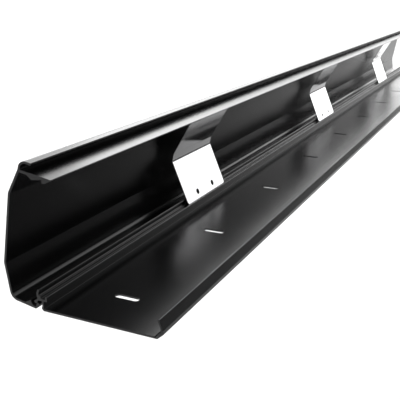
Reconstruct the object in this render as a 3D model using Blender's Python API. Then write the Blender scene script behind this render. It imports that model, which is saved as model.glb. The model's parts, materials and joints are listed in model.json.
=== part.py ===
"""Openable cable tray that hangs under the back edge of a desk.

Two extruded aluminium profiles, a channel and its lid, run the full length of the tray.
The lid has a round bead along its inner edge, and the bead turns in an open socket along
the bottom of the channel. Polished leaf springs stand between a pocket under the channel's
flange and a groove in the lid. They press the bead into its socket, and they hold the lid
open or closed, because the lid passes a dead centre on the way.

Both sections are drawn in millimetres from the hinge axis, the lid's in the lid's own frame
with its plate level. The model is in metres: +X along the tray, the opening towards -Y, +Z
up, with the origin on the flange's bearing face at the middle of the length.
"""

from math import acos, asin, atan2, ceil, cos, degrees, hypot, radians, sin, tan

import bmesh
import bpy
from mathutils import Matrix, Vector

MM = 0.001

# Along the tray, in metres.
LENGTH = 1.590
SPRING_COUNT = 3
SPRING_PITCH = 0.500
SPRING_WIDTH = 0.095
SLOTS_PER_SPRING_PITCH = 3
SLOT_COUNT = 10

# Channel section, in millimetres from the hinge axis: forward, up.
WALL = 2.0
BACK_FACE = -32.6
UNDERSIDE = -6.3
KNEE_HIGH = 80.7
KNEE_LOW = 22.2
KNEE_RADIUS = 7.0
FLOOR_CORNER = -23.2
FLOOR_RADIUS = 8.0
NECK_BACK = -25.0
NECK_RADIUS = 3.0
CURL_TOP = 109.3
CURL_TIP = -13.8
CURL_RADIUS = 6.6
CURL_WALL = 1.8
FLANGE_TOP = 101.9
FLANGE_THICKNESS = 2.4
FLANGE_NOSE = 4.4
LAND_START = -14.5
LAND_HEIGHT = 0.2
RIB_START = -17.0
RIB_TIP = (-12.1, 96.9)
POCKET_CORNER = (-3.7, 99.5)
NIB_BACK = (-2.9, 96.9)
NIB_FRONT = (-0.9, 97.3)
NOSE_HEIGHT = 0.9

# Hinge, in millimetres. The bead sits on the seat inside the hook, over a trough.
BEAD_RADIUS = 1.45
SEAT_CLEARANCE = 0.35
SEAT_START_ANGLE = -15.0
SEAT_END_ANGLE = -62.0
HOOK_FOOT = 0.5
HOOK_ELBOW = (3.4, -3.4)
HOOK_TIP = [(3.25, -1.1), (2.4, -0.45)]
TROUGH_FRONT = 0.4
TROUGH_BACK = -2.0
WEDGE_SIDE = (-4.3, -2.3)
WEDGE_TOP = (-4.5, -0.4)
WEDGE_FOOT = -9.9

# Lid section, in millimetres from the bead's centre: forward, up, with the plate level.
LID_WALL = 1.8
PLATE_UNDERSIDE = -6.8
PLATE_END = 106.0
RELIEF_START = 103.8
RELIEF_END = 105.2
RELIEF_DEPTH = 1.1
LINK_OUTSIDE = (111.7, -1.6)
LINK_INSIDE = (108.9, -0.9)
FLARE_OUTSIDE = (110.4, 0.0)
FLARE_INSIDE = (108.7, 1.5)
UPSTAND_OUTSIDE = (107.8, 8.9)
UPSTAND_INSIDE = (106.2, 8.5)
STEM_WIDTH = 1.6
STEM_ANGLE = 45.0
ARM_FRONT = [(2.9, 5.6), (3.0, 8.0)]
ARM_TIP = [(3.9, 10.2), (2.4, 10.9)]
ARM_BACK = [(1.15, 7.7), (1.0, 4.9), (1.8, 3.3)]
ARM_RADIUS = 0.8
ARM_TIP_RADIUS = 0.7
SHOULDER = (4.7, 5.0)
GROOVE_FLOOR = 3.2
GROOVE_FRONT = 8.9
LIP_FRONT = 10.6
LIP_TIP = 5.7
WEB_UNDERSIDE = 1.4
LEG_BACK = 5.8
LEG_FRONT = 7.3
HEEL_TOP = -2.5
HEEL_BACK = (5.1, -4.7)
HEEL_FRONT = 6.6

# The lid is shown open, its plate raised this far above level. It swings up to close.
LID_RAISED = 10.0

# Slots through the lid plate, in millimetres.
SLOT_CENTRE = 54.0
SLOT_LENGTH = 22.0
SLOT_WIDTH = 6.5

# Leaf spring, in millimetres.
SPRING_THICKNESS = 0.8
SPRING_TOP = (-4.2, 98.7)
SPRING_UPPER_KNEE = (-20.0, 56.7)
SPRING_LOWER_KNEE = (-20.3, 48.5)
SPRING_FOOT_IN_LID = (8.1, 4.1)
UPPER_KNEE_RADIUS = 4.0
LOWER_KNEE_RADIUS = 7.0
HOLE_DIAMETER = 6.2
HOLE_SPACING = 38.0
HOLE_FROM_FOOT = 8.5
SPRING_CORNER_RADIUS = 5.0

# The origin is this far forward of the hinge axis, at the flange's bearing face.
ORIGIN_FORWARD = -5.0

ARC_STEP = 7.5
SHARP_ANGLE = 25.0

FINISHES = {
    "black_coat": {"colour": (0.012, 0.012, 0.013, 1.0), "metallic": 0.0, "roughness": 0.32},
    "black_coat_lid": {"colour": (0.013, 0.013, 0.014, 1.0), "metallic": 0.0, "roughness": 0.36},
    "polished_steel": {"colour": (0.82, 0.82, 0.83, 1.0), "metallic": 1.0, "roughness": 0.08},
}


def clear_scene():
    """Remove whatever the file already holds."""
    for obj in list(bpy.data.objects):
        bpy.data.objects.remove(obj)


def make_material(name):
    """A Principled material with one of the finishes above."""
    finish = FINISHES[name]
    material = bpy.data.materials.new(name)
    material.use_nodes = True
    shader = material.node_tree.nodes["Principled BSDF"]
    shader.inputs["Base Color"].default_value = finish["colour"]
    shader.inputs["Metallic"].default_value = finish["metallic"]
    shader.inputs["Roughness"].default_value = finish["roughness"]
    return material


def turn(point, angle):
    """A section point turned about the hinge axis, forward towards up, by degrees."""
    forward, up = point
    c, s = cos(radians(angle)), sin(radians(angle))
    return (forward * c - up * s, forward * s + up * c)


def arc(centre, radius, start, end):
    """Points on an arc between two angles in degrees, both ends included."""
    steps = max(1, ceil(abs(end - start) / ARC_STEP))
    angles = [radians(start + (end - start) * i / steps) for i in range(steps + 1)]
    return [(centre[0] + radius * cos(a), centre[1] + radius * sin(a)) for a in angles]


def offset_path(points, distance):
    """The open path moved sideways to its left by a distance, with its corners mitred."""
    normals = []
    for (f0, u0), (f1, u1) in zip(points, points[1:]):
        run = hypot(f1 - f0, u1 - u0)
        normals.append(((u0 - u1) / run, (f1 - f0) / run))
    moved = []
    for i, (f, u) in enumerate(points):
        before = normals[max(i - 1, 0)]
        after = normals[min(i, len(normals) - 1)]
        scale = distance / (1.0 + before[0] * after[0] + before[1] * after[1])
        moved.append((f + (before[0] + after[0]) * scale, u + (before[1] + after[1]) * scale))
    return moved


def rounded(corners):
    """Replace each (forward, up, radius) corner of a closed outline by its fillet."""
    points = []
    for i, corner in enumerate(corners):
        f, u = corner[:2]
        radius = corner[2] if len(corner) > 2 else 0.0
        if not radius:
            points.append((f, u))
            continue
        before, after = corners[i - 1], corners[(i + 1) % len(corners)]
        back = Vector((before[0] - f, before[1] - u)).normalized()
        ahead = Vector((after[0] - f, after[1] - u)).normalized()
        half = acos(max(-1.0, min(1.0, back.dot(ahead)))) / 2
        middle = (back + ahead).normalized()
        centre = (f + middle.x * radius / sin(half), u + middle.y * radius / sin(half))
        reach = radius / tan(half)
        first, last = [(f + d.x * reach, u + d.y * reach) for d in (back, ahead)]
        start = degrees(atan2(first[1] - centre[1], first[0] - centre[0]))
        sweep = degrees(atan2(last[1] - centre[1], last[0] - centre[0])) - start
        sweep = (sweep + 180.0) % 360.0 - 180.0
        points += arc(centre, radius, start, start + sweep)
    return points


def channel_outline():
    """The channel's section: curl, back wall, floor, hinge socket and flange, in one line."""
    back = [
        (CURL_TIP, CURL_TOP),
        (NECK_BACK, CURL_TOP),
        (NECK_BACK, FLANGE_TOP),
        (BACK_FACE, KNEE_HIGH),
        (BACK_FACE, KNEE_LOW),
        (FLOOR_CORNER, UNDERSIDE),
        (0.0, UNDERSIDE),
    ]
    inside = offset_path(back, WALL)
    curl_end, curl_corner = offset_path(back[:3], CURL_WALL)[:2]
    groove_floor = FLANGE_TOP - LAND_HEIGHT
    flange_underside = FLANGE_TOP - FLANGE_THICKNESS
    wall_slope = (NECK_BACK - BACK_FACE) / (FLANGE_TOP - KNEE_HIGH)
    under_corner = inside[2][0] - (inside[2][1] - flange_underside) * wall_slope

    floor_inside = inside[5][1]
    seat_radius = BEAD_RADIUS + SEAT_CLEARANCE

    corners = [
        (FLANGE_NOSE, FLANGE_TOP, 0.4),
        (LAND_START, FLANGE_TOP),
        (LAND_START - LAND_HEIGHT, groove_floor),
        (curl_corner[0], groove_floor, 0.6),
        (*curl_corner, CURL_RADIUS - CURL_WALL),
        (*curl_end, 0.8),
        (*back[0], 0.8),
        (*back[1], CURL_RADIUS),
        (*back[2], NECK_RADIUS),
        (*back[3], KNEE_RADIUS),
        (*back[4], KNEE_RADIUS),
        (*back[5], FLOOR_RADIUS),
        (HOOK_FOOT, UNDERSIDE, 1.2),
        (*HOOK_ELBOW, 0.8),
        (*HOOK_TIP[0], 0.5),
        (*HOOK_TIP[1], 0.3),
    ]
    corners += arc((0.0, 0.0), seat_radius, SEAT_START_ANGLE, SEAT_END_ANGLE)
    corners += [
        (TROUGH_FRONT, floor_inside, 0.7),
        (TROUGH_BACK, floor_inside, 0.8),
        (*WEDGE_SIDE, 0.6),
        (*WEDGE_TOP, 0.2),
        (WEDGE_FOOT, floor_inside, 1.0),
        (*inside[5], FLOOR_RADIUS - WALL),
        (*inside[4], KNEE_RADIUS - WALL),
        (*inside[3], KNEE_RADIUS - WALL),
        (under_corner, flange_underside, 0.6),
        (RIB_START, flange_underside, 1.0),
        (*RIB_TIP, 0.3),
        (*POCKET_CORNER, 0.3),
        (*NIB_BACK, 0.2),
        (*NIB_FRONT, 0.5),
        (FLANGE_NOSE, FLANGE_TOP - NOSE_HEIGHT, 0.2),
    ]
    return rounded(corners)


def lid_outline():
    """The lid's section: bead, stem, arm, groove, leg, plate and the upturned free edge."""
    plate_top = PLATE_UNDERSIDE + LID_WALL
    relief_floor = plate_top - RELIEF_DEPTH
    half_stem = degrees(asin(STEM_WIDTH / 2 / BEAD_RADIUS))
    stem_side = STEM_WIDTH / 2 / sin(radians(STEM_ANGLE))

    corners = arc((0.0, 0.0), BEAD_RADIUS, STEM_ANGLE + half_stem, STEM_ANGLE - half_stem + 360.0)
    corners += [
        (WEB_UNDERSIDE + stem_side, WEB_UNDERSIDE, 0.5),
        (LEG_BACK, WEB_UNDERSIDE, 0.8),
        (LEG_BACK, HEEL_TOP, 1.0),
        (*HEEL_BACK, 0.8),
        (HEEL_FRONT, PLATE_UNDERSIDE, 1.4),
        (PLATE_END, PLATE_UNDERSIDE, 0.9),
        (*LINK_OUTSIDE, 0.5),
        (*FLARE_OUTSIDE, 0.4),
        (*UPSTAND_OUTSIDE, 0.5),
        (*UPSTAND_INSIDE, 0.5),
        (*FLARE_INSIDE, 1.0),
        (*LINK_INSIDE, 0.4),
        (RELIEF_END, relief_floor, 0.3),
        (RELIEF_START, relief_floor, 0.2),
        (RELIEF_START, plate_top, 0.2),
        (LEG_FRONT, plate_top, 0.3),
        (LEG_FRONT, WEB_UNDERSIDE, 0.6),
        (LIP_FRONT, WEB_UNDERSIDE, 1.0),
        (LIP_FRONT, LIP_TIP, 0.8),
        (GROOVE_FRONT, LIP_TIP, 0.7),
        (GROOVE_FRONT, GROOVE_FLOOR, 0.6),
        (SHOULDER[0], GROOVE_FLOOR, 0.5),
        (*SHOULDER, 0.5),
    ]
    corners += [(*corner, ARM_RADIUS) for corner in ARM_FRONT]
    corners += [(*corner, ARM_TIP_RADIUS) for corner in ARM_TIP]
    corners += [(*corner, ARM_RADIUS) for corner in ARM_BACK]
    return rounded(corners)


def spring_path():
    """The leaf spring's centre line from the pocket to the groove, seen from the end."""
    return [SPRING_TOP, SPRING_UPPER_KNEE, SPRING_LOWER_KNEE, turn(SPRING_FOOT_IN_LID, LID_RAISED)]


def spring_outline():
    """The leaf spring's section about its top edge, where it pivots in the pocket."""
    path = [(f - SPRING_TOP[0], u - SPRING_TOP[1]) for f, u in spring_path()]
    half = SPRING_THICKNESS / 2
    front, rear = offset_path(path, half), offset_path(path, -half)
    corners = [
        front[0],
        (*front[1], UPPER_KNEE_RADIUS - half),
        (*front[2], LOWER_KNEE_RADIUS - half),
        front[3],
        rear[3],
        (*rear[2], LOWER_KNEE_RADIUS + half),
        (*rear[1], UPPER_KNEE_RADIUS + half),
        rear[0],
    ]
    return rounded(corners)


def extrude_section(mesh_name, outline, width):
    """A closed prism: the outline, in millimetres, extruded along X and centred on X = 0."""
    bm = bmesh.new()
    ring = [bm.verts.new((-width / 2, -f * MM, u * MM)) for f, u in outline]
    bm.faces.new(ring)
    grown = bmesh.ops.extrude_face_region(bm, geom=bm.faces[:])
    moved = [item for item in grown["geom"] if isinstance(item, bmesh.types.BMVert)]
    bmesh.ops.translate(bm, verts=moved, vec=(width, 0.0, 0.0))
    bmesh.ops.recalc_face_normals(bm, faces=bm.faces[:])
    mesh = bpy.data.meshes.new(mesh_name)
    bm.to_mesh(mesh)
    bm.free()
    mesh.shade_smooth()
    mesh.set_sharp_from_angle(angle=radians(SHARP_ANGLE))
    return mesh


def add_object(name, mesh, location, parent, material=None):
    """Link a named object under a parent, with its material on the mesh."""
    obj = bpy.data.objects.new(name, mesh)
    bpy.context.collection.objects.link(obj)
    obj.location = location
    obj.parent = parent
    if material and not mesh.materials:
        mesh.materials.append(material)
    return obj


def add_cut(obj, cutter):
    """Cut one object by another, which stays in the file as a wire guide."""
    cutter.hide_render = True
    cutter.display_type = "WIRE"
    cut = obj.modifiers.new("cut", "BOOLEAN")
    cut.operation = "DIFFERENCE"
    cut.solver = "EXACT"
    cut.object = cutter


def world_place(point):
    """A section point as a place in the model, at the middle of the tray."""
    forward, up = point
    return Vector((0.0, (ORIGIN_FORWARD - forward) * MM, (up - FLANGE_TOP) * MM))


def slot_cutter_mesh():
    """The row of slots through the lid plate, as round-ended bars standing on end."""
    pitch = SPRING_PITCH / SLOTS_PER_SPRING_PITCH
    half_straight = (SLOT_LENGTH - SLOT_WIDTH) / 2
    near = arc((SLOT_CENTRE - half_straight, 0.0), SLOT_WIDTH / 2, 90.0, 270.0)
    far = arc((SLOT_CENTRE + half_straight, 0.0), SLOT_WIDTH / 2, -90.0, 90.0)
    low = PLATE_UNDERSIDE - LID_WALL
    bm = bmesh.new()
    for index in range(SLOT_COUNT):
        x = (index - (SLOT_COUNT - 1) / 2) * pitch
        ring = [bm.verts.new((x + across * MM, -f * MM, low * MM)) for f, across in near + far]
        face = bm.faces.new(ring)
        grown = bmesh.ops.extrude_face_region(bm, geom=[face])
        moved = [item for item in grown["geom"] if isinstance(item, bmesh.types.BMVert)]
        bmesh.ops.translate(bm, verts=moved, vec=(0.0, 0.0, 3 * LID_WALL * MM))
    bmesh.ops.recalc_face_normals(bm, faces=bm.faces[:])
    mesh = bpy.data.meshes.new("slot_bars")
    bm.to_mesh(mesh)
    bm.free()
    return mesh


def round_spring_corners(mesh):
    """Round the four corners of a leaf spring's blank, across its thickness."""
    bm = bmesh.new()
    bm.from_mesh(mesh)
    thickness = SPRING_THICKNESS * MM
    corners = [edge for edge in bm.edges
               if abs(edge.calc_length() - thickness) < 0.001 * thickness]
    bmesh.ops.bevel(bm, geom=corners, offset=SPRING_CORNER_RADIUS * MM, offset_type="OFFSET",
                    affect="EDGES", segments=6, profile=0.5, material=-1)
    bm.to_mesh(mesh)
    bm.free()
    mesh.set_sharp_from_angle(angle=radians(SHARP_ANGLE))


def hole_cutter_mesh():
    """Two round bars through the foot of a leaf spring, square to its lower leg."""
    knee, foot = [Vector((0.0, -(f - SPRING_TOP[0]), u - SPRING_TOP[1])) * MM
                  for f, u in spring_path()[2:]]
    along = (knee - foot).normalized()
    across = Vector((1.0, 0.0, 0.0))
    turned = Matrix((across, along, across.cross(along))).transposed().to_4x4()
    radius = HOLE_DIAMETER / 2 * MM
    bm = bmesh.new()
    for side in (-0.5, 0.5):
        centre = foot + along * HOLE_FROM_FOOT * MM + across * side * HOLE_SPACING * MM
        bmesh.ops.create_cone(bm, cap_ends=True, segments=24, radius1=radius, radius2=radius,
                              depth=6 * SPRING_THICKNESS * MM,
                              matrix=Matrix.Translation(centre) @ turned)
    mesh = bpy.data.meshes.new("hole_bars")
    bm.to_mesh(mesh)
    bm.free()
    return mesh


def build():
    """Make the tray: two profiles and a row of leaf springs."""
    clear_scene()
    tray = bpy.data.objects.new("tray", None)
    bpy.context.collection.objects.link(tray)
    hinge = world_place((0.0, 0.0))

    channel_mesh = extrude_section("channel_profile", channel_outline(), LENGTH)
    add_object("channel_profile", channel_mesh, hinge, tray, make_material("black_coat"))

    lid_mesh = extrude_section("lid_profile", lid_outline(), LENGTH)
    lid = add_object("lid_profile", lid_mesh, hinge, tray, make_material("black_coat_lid"))
    lid.rotation_euler.x = radians(-LID_RAISED)
    add_cut(lid, add_object("slot_bars", slot_cutter_mesh(), (0.0, 0.0, 0.0), lid))

    spring_mesh = extrude_section("leaf_spring", spring_outline(), SPRING_WIDTH)
    round_spring_corners(spring_mesh)
    hole_mesh = hole_cutter_mesh()
    steel = make_material("polished_steel")
    for index in range(SPRING_COUNT):
        place = world_place(SPRING_TOP)
        place.x = (index - (SPRING_COUNT - 1) / 2) * SPRING_PITCH
        spring = add_object(f"leaf_spring_{index + 1}", spring_mesh, place, tray, steel)
        add_cut(spring, add_object(f"hole_bars_{index + 1}", hole_mesh, (0.0, 0.0, 0.0), spring))


build()
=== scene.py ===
"""Studio model of an openable cable tray that hangs under a desk.

Two black extrusions run the length of the tray: a channel, and a slotted lid whose bead turns
in a socket along the channel's lower front edge. Bent strips of polished spring steel stand
between the two and hold the lid open or closed. The sizes and places of the extrusions come
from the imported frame, whose solids each piece here stands for. Everything is in metres: +X
along the tray, the opening towards -Y, +Z up.
"""

import json
from math import cos, pi, radians, sin, tan

import bmesh
import bpy
from bpy.props import FloatProperty, FloatVectorProperty, IntProperty, PointerProperty
from mathutils import Matrix, Vector


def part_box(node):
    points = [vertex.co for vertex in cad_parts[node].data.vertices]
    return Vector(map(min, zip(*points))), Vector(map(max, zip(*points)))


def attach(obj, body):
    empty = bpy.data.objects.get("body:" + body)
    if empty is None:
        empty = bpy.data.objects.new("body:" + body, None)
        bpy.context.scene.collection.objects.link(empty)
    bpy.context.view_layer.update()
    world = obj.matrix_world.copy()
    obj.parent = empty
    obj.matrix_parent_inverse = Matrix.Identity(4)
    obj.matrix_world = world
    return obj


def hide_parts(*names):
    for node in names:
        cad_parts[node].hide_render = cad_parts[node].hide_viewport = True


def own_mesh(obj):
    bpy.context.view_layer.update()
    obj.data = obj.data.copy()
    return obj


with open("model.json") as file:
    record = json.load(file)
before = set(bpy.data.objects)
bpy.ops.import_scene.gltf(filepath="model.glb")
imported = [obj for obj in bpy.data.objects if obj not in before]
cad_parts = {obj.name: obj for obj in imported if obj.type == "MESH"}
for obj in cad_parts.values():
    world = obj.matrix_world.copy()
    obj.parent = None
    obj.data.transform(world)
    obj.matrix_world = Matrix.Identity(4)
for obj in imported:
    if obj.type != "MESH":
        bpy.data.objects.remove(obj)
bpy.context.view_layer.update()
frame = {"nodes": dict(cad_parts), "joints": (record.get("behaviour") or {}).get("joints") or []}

bl_info = {
    "name": "Openable cable tray",
    "version": (1, 0, 0),
    "blender": (4, 5, 0),
    "location": "3D View > Sidebar > Cable Tray",
    "description": "Builds the channel, the lid and the leaf springs of a cable tray in a studio",
    "category": "Object",
}

JOINTS = {joint["name"]: joint for joint in frame["joints"]}
SPRINGS = sorted(node for node in frame["nodes"] if node.startswith("leaf_spring"))
HALF_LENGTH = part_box("channel_profile")[1].x
LOWEST = min(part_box(node)[0].z for node in frame["nodes"])
HINGE = Vector(JOINTS["lid_hinge"]["pos_m"])

# The open lid's plate rises forward at this slope. Its slots lie between these two distances
# from the hinge, measured along the plate.
PLATE_SLOPE = radians(10.0)
PLATE_ALONG = Vector((0.0, -cos(PLATE_SLOPE), sin(PLATE_SLOPE)))
PLATE_NORMAL = Vector((0.0, sin(PLATE_SLOPE), cos(PLATE_SLOPE)))
SLOTTED = (0.040, 0.066)

ACROSS = Vector((1.0, 0.0, 0.0))

# What counts as one place, one plane or one direction when a mesh is sorted into faces.
MERGE_DISTANCE = 1e-6
SAME_PLANE = 1e-5
FLAT_ANGLE = radians(0.4)
RIM_ANGLE = radians(50.0)
FACING = 0.99
EDGE_ON = 0.05

# How near an end a point is when it belongs to the saw cut.
SAWN_DEPTH = 0.00005


# ---------------------------------------------------------------- settings

class TrayCameraSettings(bpy.types.PropertyGroup):
    location: FloatVectorProperty(
        name="Location", description="Where the camera stands, in front of the near end",
        default=(-1.1657, -0.2758, 0.1839), subtype="TRANSLATION", unit="LENGTH")
    aim: FloatVectorProperty(
        name="Aim", description="The point that the camera looks at",
        default=(-0.4788, 0.0041, -0.1159), subtype="TRANSLATION", unit="LENGTH")
    roll: FloatProperty(
        name="Roll", description="How far the picture is turned about the line of sight",
        default=radians(9.735), subtype="ANGLE")
    lens: FloatProperty(
        name="Lens", description="Focal length on a 36 mm sensor", default=61.02, min=1.0,
        unit="CAMERA")


class TrayProfileSettings(bpy.types.PropertyGroup):
    saw_edge: FloatProperty(
        name="Saw-cut edge", description="Width of the deburred edge round the sawn ends",
        default=0.00012, min=0.0, unit="LENGTH")
    slot_edge: FloatProperty(
        name="Slot edge", description="Width of the softened edge round each slot",
        default=0.00012, min=0.0, unit="LENGTH")
    edge_segments: IntProperty(
        name="Edge segments", description="Steps across a softened edge", default=2, min=1)
    smooth_angle: FloatProperty(
        name="Smooth angle", description="Corners flatter than this are shaded as round",
        default=radians(25.0), subtype="ANGLE")
    channel_colour: FloatVectorProperty(
        name="Channel colour", description="Powder coat on the channel", size=4,
        default=(0.0020, 0.0020, 0.0022, 1.0), subtype="COLOR", min=0.0, max=1.0)
    channel_roughness: FloatProperty(
        name="Channel roughness", description="Roughness of the channel's coat",
        default=0.24, min=0.0, max=1.0, subtype="FACTOR")
    lid_colour: FloatVectorProperty(
        name="Lid colour", description="Powder coat on the lid", size=4,
        default=(0.0022, 0.0022, 0.0024, 1.0), subtype="COLOR", min=0.0, max=1.0)
    lid_roughness: FloatProperty(
        name="Lid roughness", description="Roughness of the lid's coat",
        default=0.25, min=0.0, max=1.0, subtype="FACTOR")


class TraySpringSettings(bpy.types.PropertyGroup):
    thickness: FloatProperty(
        name="Thickness", description="Thickness of the spring steel",
        default=0.0008, min=0.0001, unit="LENGTH")
    upper_knee: FloatVectorProperty(
        name="Upper knee", description="Upper bend, forward and up from the top edge", size=2,
        default=(-0.0158, -0.0420), unit="LENGTH")
    lower_knee: FloatVectorProperty(
        name="Lower knee", description="Lower bend, forward and up from the top edge", size=2,
        default=(-0.0161, -0.0502), unit="LENGTH")
    foot: FloatVectorProperty(
        name="Foot", description="Foot edge, forward and up from the top edge", size=2,
        default=(0.011465, -0.093256), unit="LENGTH")
    upper_radius: FloatProperty(
        name="Upper bend radius", description="Centre-line radius of the upper bend",
        default=0.004, min=0.0005, unit="LENGTH")
    lower_radius: FloatProperty(
        name="Lower bend radius", description="Centre-line radius of the lower bend",
        default=0.007, min=0.0005, unit="LENGTH")
    bend_steps: IntProperty(
        name="Bend steps", description="Steps round each bend", default=14, min=2)
    corner_radius: FloatProperty(
        name="Corner radius", description="Radius of the blank's four corners",
        default=0.005, min=0.0005, unit="LENGTH")
    hole_diameter: FloatProperty(
        name="Hole diameter", description="Diameter of the two holes near the foot",
        default=0.0062, min=0.0005, unit="LENGTH")
    hole_spacing: FloatProperty(
        name="Hole spacing", description="Distance between the two holes",
        default=0.038, min=0.001, unit="LENGTH")
    hole_height: FloatProperty(
        name="Hole height", description="Distance of the holes from the foot edge",
        default=0.0085, min=0.001, unit="LENGTH")
    edge_radius: FloatProperty(
        name="Edge radius", description="Tumbled edge round the blank and its holes",
        default=0.00018, min=0.0, unit="LENGTH")
    kept_length: FloatProperty(
        name="Kept length", description="Share of its length that a closed spring keeps",
        default=0.988, min=0.5, max=1.0, subtype="FACTOR")
    colour: FloatVectorProperty(
        name="Steel colour", description="Polished spring steel", size=4,
        default=(0.80, 0.80, 0.81, 1.0), subtype="COLOR", min=0.0, max=1.0)
    roughness: FloatProperty(
        name="Steel roughness", description="Roughness of the polished steel",
        default=0.09, min=0.0, max=1.0, subtype="FACTOR")
    smooth_angle: FloatProperty(
        name="Smooth angle", description="Corners flatter than this are shaded as round",
        default=radians(30.0), subtype="ANGLE")


class TrayStageSettings(bpy.types.PropertyGroup):
    drop: FloatProperty(
        name="Floor drop", description="How far below the hanging tray the floor lies",
        default=0.45, min=0.0, unit="LENGTH")
    floor_size: FloatProperty(
        name="Floor size", description="Side of the square floor", default=60.0, min=1.0,
        unit="LENGTH")
    floor_colour: FloatVectorProperty(
        name="Floor colour", description="Pale floor", size=4,
        default=(0.92, 0.92, 0.92, 1.0), subtype="COLOR", min=0.0, max=1.0)
    room_light: FloatProperty(
        name="Room light", description="Brightness of the white room on the camera's side",
        default=0.50, min=0.0)
    window_light: FloatProperty(
        name="Window light", description="Brightness of the room beyond the far end",
        default=2.7, min=0.0)
    window_way: FloatVectorProperty(
        name="Window way", description="Where the brightest part of the room lies",
        default=(0.80, 0.58, 0.15), subtype="DIRECTION")
    window_edge: FloatProperty(
        name="Window edge", description="Cosine of the angle from there where it stops brightening",
        default=0.9, min=0.0, max=1.0)
    top_light: FloatProperty(
        name="Top light", description="Brightness of the soft box overhead",
        default=3.5, min=0.0)
    top_place: FloatVectorProperty(
        name="Top place", description="Where the soft box hangs, facing the tray's middle",
        default=(2.3, 0.8, 1.6), subtype="TRANSLATION", unit="LENGTH")
    top_size: FloatVectorProperty(
        name="Top size", description="Width and height of the soft box", size=2,
        default=(2.2, 1.6), unit="LENGTH")
    card_colour: FloatVectorProperty(
        name="Card colour", description="Dark card that stands in front of the tray", size=4,
        default=(0.02, 0.02, 0.02, 1.0), subtype="COLOR", min=0.0, max=1.0)
    card_low: FloatVectorProperty(
        name="Card low corner", description="The dark card's lower corner by the near end",
        default=(-1.0, -1.2, -0.42), subtype="TRANSLATION", unit="LENGTH")
    card_high: FloatVectorProperty(
        name="Card high corner", description="The dark card's upper corner past the far end",
        default=(5.0, -1.2, 0.20), subtype="TRANSLATION", unit="LENGTH")


# ---------------------------------------------------------------- materials

class Socket:
    """A number in a material: arithmetic on it adds Math nodes."""

    def __init__(self, finish, link):
        self.finish = finish
        self.link = link

    def math(self, operation, *values):
        """One Math node on these values, numbers or sockets."""
        node = self.finish.add("ShaderNodeMath", {"operation": operation}, dict(enumerate(values)))
        return Socket(self.finish, node.outputs[0])

    def __add__(self, other):
        return self.math("ADD", self, other)

    def __rsub__(self, other):
        return self.math("SUBTRACT", other, self)

    def __mul__(self, other):
        return self.math("MULTIPLY", self, other)

    def __abs__(self):
        return self.math("ABSOLUTE", self)

    __radd__ = __add__
    __rmul__ = __mul__

    def above(self, limit):
        """1 where the value is over the limit, and 0 elsewhere."""
        return self.math("GREATER_THAN", self, limit)


class Finish:
    """A material with one Principled shader, and the nodes that feed it."""

    def __init__(self, name):
        self.material = bpy.data.materials.new(name)
        self.material.use_nodes = True
        self.tree = self.material.node_tree
        self.shader = self.tree.nodes["Principled BSDF"]
        self.place = self.add("ShaderNodeTexCoord").outputs["Object"]

    def add(self, kind, settings=None, inputs=None):
        """A node with its settings, and the values or links of its sockets."""
        node = self.tree.nodes.new(kind)
        for name, value in (settings or {}).items():
            setattr(node, name, value)
        for name, value in (inputs or {}).items():
            self.feed(node.inputs[name], value)
        return node

    def feed(self, socket, value):
        """Give a socket a value or a link."""
        if isinstance(value, Socket):
            value = value.link
        if isinstance(value, bpy.types.NodeSocket):
            self.tree.links.new(value, socket)
        else:
            socket.default_value = value

    def set(self, **values):
        """Set the shader's own sockets; an underscore stands for a space."""
        for name, value in values.items():
            self.feed(self.shader.inputs[name.replace("_", " ")], value)

    def noise(self, scale, detail, stretch=(1.0, 1.0, 1.0)):
        """Noise from 0 to 1 with so many features a metre, drawn out where stretch is low."""
        place = self.add("ShaderNodeMapping", inputs={"Vector": self.place, "Scale": stretch})
        cloud = self.add("ShaderNodeTexNoise", inputs={
            "Vector": place.outputs["Vector"], "Scale": scale, "Detail": detail})
        return Socket(self, cloud.outputs["Fac"])

    def mix(self, share, first, second):
        """One colour into another, by a share from 0 to 1; 6, 7 and 2 are the colour sockets."""
        node = self.add("ShaderNodeMix", {"data_type": "RGBA"}, {
            "Factor": share, 6: first, 7: second})
        return node.outputs[2]

    def relief(self, height, depth):
        """A surface normal from a height field whose full depth is given in metres."""
        bump = self.add("ShaderNodeBump", inputs={
            "Strength": 1.0, "Distance": depth, "Height": height})
        return bump.outputs["Normal"]

    def along(self):
        """The distance along the tray from its middle."""
        parts = self.add("ShaderNodeSeparateXYZ", inputs={"Vector": self.place})
        return Socket(self, parts.outputs["X"])


def shade(colour, factor):
    """A colour made lighter or darker."""
    return (*[channel * factor for channel in colour[:3]], 1.0)


def powder_coat(name, colour, roughness):
    """Satin black powder coat on an extrusion, with die lines under it and saw-cut ends."""
    finish = Finish(name)
    cloud = finish.noise(scale=14.0, detail=3.0)
    peel = finish.noise(scale=650.0, detail=2.0)
    die_lines = finish.noise(scale=1500.0, detail=2.0, stretch=(0.004, 1.0, 1.0))
    saw_marks = finish.noise(scale=1200.0, detail=1.0, stretch=(1.0, 0.06, 1.0))
    sawn = abs(finish.along()).above(HALF_LENGTH - SAWN_DEPTH)

    height = peel * 0.6 + die_lines * (0.2 - sawn * 0.2) + saw_marks * sawn
    finish.set(
        Base_Color=finish.mix(cloud, shade(colour, 0.8), shade(colour, 1.25)),
        Roughness=cloud * 0.05 + die_lines * 0.03 + sawn * 0.08 + (roughness - 0.04),
        IOR=1.42,
        Normal=finish.relief(height, 0.000005),
    )
    return finish.material


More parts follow.
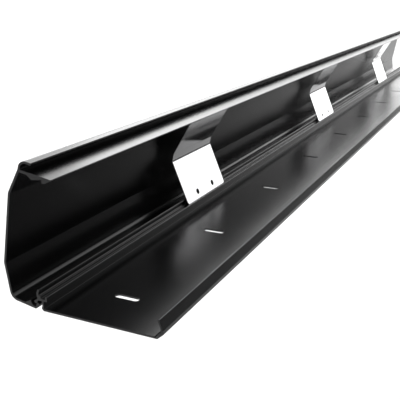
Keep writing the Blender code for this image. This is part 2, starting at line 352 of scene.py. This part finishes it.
def spring_steel(name, colour, roughness):
    """Polished spring steel with the grain of the rolled strip, up and down the spring."""
    finish = Finish(name)
    cloud = finish.noise(scale=35.0, detail=2.0)
    grain = finish.noise(scale=1400.0, detail=2.0, stretch=(1.0, 0.02, 0.02))
    finish.set(
        Base_Color=finish.mix(cloud, shade(colour, 0.95), colour),
        Metallic=1.0,
        Roughness=cloud * 0.04 + grain * 0.05 + (roughness - 0.045),
        Normal=finish.relief(grain, 0.0000015),
    )
    return finish.material


def floor_paint(name, colour):
    """Plain pale paint with the faintest clouding."""
    finish = Finish(name)
    cloud = finish.noise(scale=3.0, detail=2.0)
    finish.set(
        Base_Color=finish.mix(cloud, shade(colour, 0.99), colour),
        Roughness=cloud * 0.05 + 0.75,
    )
    return finish.material


# ---------------------------------------------------------------- mesh helpers

def add_piece(name, mesh, material):
    """Link a finished mesh as an object at the origin."""
    piece = bpy.data.objects.new(name, mesh)
    bpy.context.scene.collection.objects.link(piece)
    mesh.materials.clear()
    mesh.materials.append(material)
    return piece


def shade_by_angle(piece, angle):
    """Smooth shading that breaks at corners, with flat faces kept flat."""
    piece.data.shade_smooth()
    piece.data.set_sharp_from_angle(angle=angle)
    weighted = piece.modifiers.new("flat_faces", "WEIGHTED_NORMAL")
    weighted.keep_sharp = True


def merged_copy(node):
    """A bmesh of a frame node with its triangles joined into whole faces."""
    bm = bmesh.new()
    bm.from_mesh(frame["nodes"][node].data)
    bmesh.ops.remove_doubles(bm, verts=bm.verts[:], dist=MERGE_DISTANCE)
    bmesh.ops.dissolve_limit(bm, angle_limit=FLAT_ANGLE, verts=bm.verts[:], edges=bm.edges[:],
                             use_dissolve_boundaries=False, delimit={"NORMAL"})
    return bm


def soften(bm, edges, width, segments):
    """Bevel these edges."""
    bmesh.ops.bevel(bm, geom=edges, offset=width, offset_type="OFFSET", affect="EDGES",
                    segments=segments, profile=0.5, material=-1, clamp_overlap=False)


def rim_edges(bm, is_face):
    """The edges where a face that passes the test meets another across a corner."""
    return [edge for edge in bm.edges
            if len(edge.link_faces) == 2
            and sum(is_face(face) for face in edge.link_faces) == 1
            and edge.calc_face_angle() > RIM_ANGLE]


def is_sawn(face):
    """True for a face in the plane of a sawn end."""
    reach = abs(face.calc_center_median().x)
    return abs(face.normal.x) > FACING and abs(reach - HALF_LENGTH) < SAME_PLANE


def is_slot_wall(face):
    """True for a face inside a slot: square to the plate, near the middle of its depth."""
    depth = (face.calc_center_median() - HINGE).dot(PLATE_ALONG)
    return abs(face.normal.dot(PLATE_NORMAL)) < EDGE_ON and SLOTTED[0] < depth < SLOTTED[1]


def finish_mesh(bm, name):
    """Turn a bmesh into a mesh that carries no shading over from the frame, and free it."""
    mesh = bpy.data.meshes.new(name)
    bm.to_mesh(mesh)
    bm.free()
    for leftover in ("custom_normal", "sharp_edge"):
        if leftover in mesh.attributes:
            mesh.attributes.remove(mesh.attributes[leftover])
    return mesh


def strip_along(points, radii, width, steps):
    """A flat strip drawn down a line: straight runs by extrusion, bends by spinning."""
    bm = bmesh.new()
    start = points[0]
    ends = [bm.verts.new(start + ACROSS * side * width) for side in (-0.5, 0.5)]
    front = [bm.edges.new(ends)]

    def run(front, move):
        grown = bmesh.ops.extrude_edge_only(bm, edges=front)["geom"]
        verts = [item for item in grown if isinstance(item, bmesh.types.BMVert)]
        bmesh.ops.translate(bm, verts=verts, vec=move)
        return [item for item in grown if isinstance(item, bmesh.types.BMEdge)
                and all(vert in verts for vert in item.verts)]

    here = start
    for before, knee, after, radius in zip(points, points[1:], points[2:], radii):
        coming, going = (knee - before).normalized(), (after - knee).normalized()
        swing = coming.angle(going)
        side = 1.0 if coming.cross(going).x > 0.0 else -1.0
        bend_start = knee - coming * radius * tan(swing / 2)
        front = run(front, bend_start - here)
        centre = knee + (going - coming).normalized() * radius / cos(swing / 2)
        turned = bmesh.ops.spin(bm, geom=front + list(front[0].verts), cent=centre, axis=ACROSS,
                                angle=side * swing, steps=steps, use_duplicate=False)
        front = [item for item in turned["geom_last"] if isinstance(item, bmesh.types.BMEdge)]
        here = knee + going * radius * tan(swing / 2)
    run(front, points[-1] - here)
    bmesh.ops.remove_doubles(bm, verts=bm.verts[:], dist=MERGE_DISTANCE)
    return bm


def round_blank(bm, radius, segments=8):
    """Round the corners of an open strip, where only one face meets a vertex."""
    corners = [vert for vert in bm.verts if len(vert.link_faces) == 1]
    bmesh.ops.bevel(bm, geom=corners, offset=radius, offset_type="OFFSET", affect="VERTICES",
                    segments=segments, profile=0.5, material=-1)


def evaluated_mesh(piece, name):
    """The piece's mesh with its modifiers applied."""
    bpy.context.view_layer.update()
    graph = bpy.context.evaluated_depsgraph_get()
    mesh = bpy.data.meshes.new_from_object(piece.evaluated_get(graph))
    mesh.name = name
    return mesh


# ---------------------------------------------------------------- operators

class TRAY_OT_camera(bpy.types.Operator):
    """Stand the camera in front of the near end, looking along the tray"""
    bl_idname = "tray.camera"
    bl_label = "Camera"

    def execute(self, context):
        settings = context.scene.tray_camera
        camera = bpy.data.objects.new("camera", bpy.data.cameras.new("camera"))
        context.scene.collection.objects.link(camera)
        camera.data.lens = settings.lens
        look = Vector(settings.aim) - Vector(settings.location)
        facing = look.to_track_quat("-Z", "Y").to_matrix().to_4x4()
        rolled = facing @ Matrix.Rotation(settings.roll, 4, "Z")
        camera.matrix_world = Matrix.Translation(settings.location) @ rolled
        context.scene.camera = camera
        return {"FINISHED"}


class TRAY_OT_channel(bpy.types.Operator):
    """Make the channel extrusion with its deburred ends and its powder coat"""
    bl_idname = "tray.channel"
    bl_label = "Channel"

    def execute(self, context):
        settings = context.scene.tray_profiles
        bm = merged_copy("channel_profile")
        soften(bm, rim_edges(bm, is_sawn), settings.saw_edge, settings.edge_segments)
        coat = powder_coat("black_channel", settings.channel_colour, settings.channel_roughness)
        channel = add_piece("channel_extrusion", finish_mesh(bm, "channel_extrusion"), coat)
        shade_by_angle(channel, settings.smooth_angle)
        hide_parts("channel_profile")
        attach(channel, "channel")
        return {"FINISHED"}


class TRAY_OT_lid(bpy.types.Operator):
    """Make the lid extrusion with its slots, its deburred ends and its powder coat"""
    bl_idname = "tray.lid"
    bl_label = "Lid"

    def execute(self, context):
        settings = context.scene.tray_profiles
        bm = merged_copy("lid_profile")
        soften(bm, rim_edges(bm, is_slot_wall), settings.slot_edge, settings.edge_segments)
        soften(bm, rim_edges(bm, is_sawn), settings.saw_edge, settings.edge_segments)
        coat = powder_coat("black_lid", settings.lid_colour, settings.lid_roughness)
        lid = add_piece("lid_extrusion", finish_mesh(bm, "lid_extrusion"), coat)
        shade_by_angle(lid, settings.smooth_angle)
        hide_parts("lid_profile")
        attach(lid, "lid")
        return {"FINISHED"}


class TRAY_OT_springs(bpy.types.Operator):
    """Bend the leaf springs from polished strip and stand them between channel and lid"""
    bl_idname = "tray.springs"
    bl_label = "Leaf springs"

    def execute(self, context):
        settings = context.scene.tray_springs
        steel = spring_steel("polished_spring_steel", settings.colour, settings.roughness)
        for index, node in enumerate(SPRINGS, start=1):
            tilt = JOINTS[f"spring_{index}_tilt"]
            spring = self.bend(settings, f"bent_{node}", node, Vector(tilt["pos_m"]), steel)
            shade_by_angle(spring, settings.smooth_angle)
            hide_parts(node)
            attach(spring, tilt["child"])
            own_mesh(spring)
        return {"FINISHED"}

    def bend(self, settings, name, node, top, steel):
        """One spring: a strip, its round corners, its thickness, its holes and soft edges."""
        low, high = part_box(node)
        points = [top] + [top + Vector((0.0, -forward, up)) for forward, up in (
            settings.upper_knee, settings.lower_knee, settings.foot)]
        bm = strip_along(points, (settings.upper_radius, settings.lower_radius),
                         high.x - low.x, settings.bend_steps)
        round_blank(bm, settings.corner_radius)
        spring = add_piece(name, finish_mesh(bm, name), steel)

        wall = spring.modifiers.new("thickness", "SOLIDIFY")
        wall.thickness = settings.thickness
        wall.offset = 0.0
        wall.use_even_offset = True
        holes = self.hole_bars(settings, points)
        punch = spring.modifiers.new("holes", "BOOLEAN")
        punch.operation = "DIFFERENCE"
        punch.solver = "EXACT"
        punch.object = holes
        edge = spring.modifiers.new("edges", "BEVEL")
        edge.width = settings.edge_radius
        edge.segments = 2
        edge.limit_method = "ANGLE"
        edge.angle_limit = RIM_ANGLE
        spring.data = evaluated_mesh(spring, name)
        spring.modifiers.clear()
        bpy.data.objects.remove(holes)
        return spring

    def hole_bars(self, settings, points):
        """Two round bars through the foot, square to the lower leg."""
        knee, foot = points[2:]
        along = (knee - foot).normalized()
        turned = Matrix((ACROSS, along, ACROSS.cross(along))).transposed().to_4x4()
        bm = bmesh.new()
        for side in (-0.5, 0.5):
            centre = foot + along * settings.hole_height + ACROSS * side * settings.hole_spacing
            bmesh.ops.create_cone(bm, cap_ends=True, segments=40,
                                  radius1=settings.hole_diameter / 2,
                                  radius2=settings.hole_diameter / 2,
                                  depth=settings.thickness * 6,
                                  matrix=Matrix.Translation(centre) @ turned)
        mesh = bpy.data.meshes.new("hole_bars")
        bm.to_mesh(mesh)
        bm.free()
        bars = bpy.data.objects.new("hole_bars", mesh)
        bpy.context.scene.collection.objects.link(bars)
        return bars


class TRAY_OT_stage(bpy.types.Operator):
    """Lay the pale floor and set the white room, its soft box and its dark card"""
    bl_idname = "tray.stage"
    bl_label = "Stage"

    def execute(self, context):
        settings = context.scene.tray_stage
        bm = bmesh.new()
        bmesh.ops.create_grid(bm, x_segments=1, y_segments=1, size=settings.floor_size / 2,
                              matrix=Matrix.Translation((0.0, 0.0, LOWEST - settings.drop)))
        mesh = bpy.data.meshes.new("studio_floor")
        bm.to_mesh(mesh)
        bm.free()
        add_piece("studio_floor", mesh, floor_paint("floor_paint", settings.floor_colour))

        context.scene.world = self.white_room(settings)
        context.scene.view_settings.view_transform = "Standard"
        self.soft_box("top_box", settings.top_place, settings.top_size, settings.top_light)
        self.dark_card(settings)
        return {"FINISHED"}

    def white_room(self, settings):
        """A room that is plain white to look at and brightens towards the window's side."""
        world = bpy.data.worlds.new("white_room")
        world.use_nodes = True
        tree = world.node_tree
        way = tree.nodes.new("ShaderNodeTexCoord")
        facing = tree.nodes.new("ShaderNodeVectorMath")
        facing.operation = "DOT_PRODUCT"
        facing.inputs[1].default_value = Vector(settings.window_way).normalized()
        tree.links.new(way.outputs["Generated"], facing.inputs[0])
        glow = tree.nodes.new("ShaderNodeMapRange")
        glow.interpolation_type = "SMOOTHSTEP"
        glow.inputs["From Min"].default_value = 0.0
        glow.inputs["From Max"].default_value = settings.window_edge
        glow.inputs["To Min"].default_value = settings.room_light
        glow.inputs["To Max"].default_value = settings.window_light
        tree.links.new(facing.outputs["Value"], glow.inputs["Value"])
        path = tree.nodes.new("ShaderNodeLightPath")
        # Socket 0 is this node's share, and 2 and 3 are its numbers: the glow, and plain white.
        seen = tree.nodes.new("ShaderNodeMix")
        seen.inputs[3].default_value = 1.0
        tree.links.new(path.outputs["Is Camera Ray"], seen.inputs[0])
        tree.links.new(glow.outputs["Result"], seen.inputs[2])
        tree.links.new(seen.outputs[0], tree.nodes["Background"].inputs["Strength"])
        tree.nodes["Background"].inputs["Color"].default_value = (1.0, 1.0, 1.0, 1.0)
        return world

    def dark_card(self, settings):
        """A long dark card in front of the tray, out of the picture, that only reflects."""
        low, high = Vector(settings.card_low), Vector(settings.card_high)
        bm = bmesh.new()
        corners = [low, (high.x, low.y, low.z), high, (low.x, low.y, high.z)]
        bm.faces.new([bm.verts.new(corner) for corner in corners])
        mesh = bpy.data.meshes.new("dark_card")
        bm.to_mesh(mesh)
        bm.free()
        card = add_piece("dark_card", mesh, floor_paint("card_paint", settings.card_colour))
        card.visible_camera = False
        card.visible_diffuse = False
        card.visible_shadow = False

    def soft_box(self, name, place, size, brightness):
        """A rectangular light of even brightness, facing the tray's middle."""
        width, height = size
        lamp = bpy.data.lights.new(name, "AREA")
        lamp.shape = "RECTANGLE"
        lamp.size = width
        lamp.size_y = height
        lamp.energy = brightness * width * height * pi
        box = bpy.data.objects.new(name, lamp)
        bpy.context.scene.collection.objects.link(box)
        facing = (-Vector(place)).to_track_quat("-Z", "Y").to_matrix().to_4x4()
        box.matrix_world = Matrix.Translation(place) @ facing


class TRAY_PT_panel(bpy.types.Panel):
    """The tray's pieces and their settings"""
    bl_idname = "TRAY_PT_panel"
    bl_label = "Cable Tray"
    bl_space_type = "VIEW_3D"
    bl_region_type = "UI"
    bl_category = "Cable Tray"

    def draw(self, context):
        for operator, settings in STEPS:
            box = self.layout.box()
            box.operator(operator)
            group = getattr(context.scene, settings)
            for name in group.bl_rna.properties.keys():
                if name not in ("rna_type", "name"):
                    box.prop(group, name)


STEPS = (
    ("tray.camera", "tray_camera"),
    ("tray.channel", "tray_profiles"),
    ("tray.lid", "tray_profiles"),
    ("tray.springs", "tray_springs"),
    ("tray.stage", "tray_stage"),
)
GROUPS = {
    "tray_camera": TrayCameraSettings,
    "tray_profiles": TrayProfileSettings,
    "tray_springs": TraySpringSettings,
    "tray_stage": TrayStageSettings,
}
OPERATORS = (TRAY_OT_camera, TRAY_OT_channel, TRAY_OT_lid, TRAY_OT_springs, TRAY_OT_stage)


def register():
    """Add the classes and the scene's settings."""
    for group in GROUPS.values():
        bpy.utils.register_class(group)
    for name, group in GROUPS.items():
        setattr(bpy.types.Scene, name, PointerProperty(type=group))
    for cls in (*OPERATORS, TRAY_PT_panel):
        bpy.utils.register_class(cls)


def unregister():
    """Take the classes and the scene's settings away."""
    for cls in (TRAY_PT_panel, *reversed(OPERATORS)):
        bpy.utils.unregister_class(cls)
    for name in GROUPS:
        delattr(bpy.types.Scene, name)
    for group in reversed(GROUPS.values()):
        bpy.utils.unregister_class(group)


def main():
    """Build the tray and its studio."""
    register()
    bpy.ops.tray.camera()
    bpy.ops.tray.channel()
    bpy.ops.tray.lid()
    bpy.ops.tray.springs()
    bpy.ops.tray.stage()


if __name__ == "__main__":
    main()
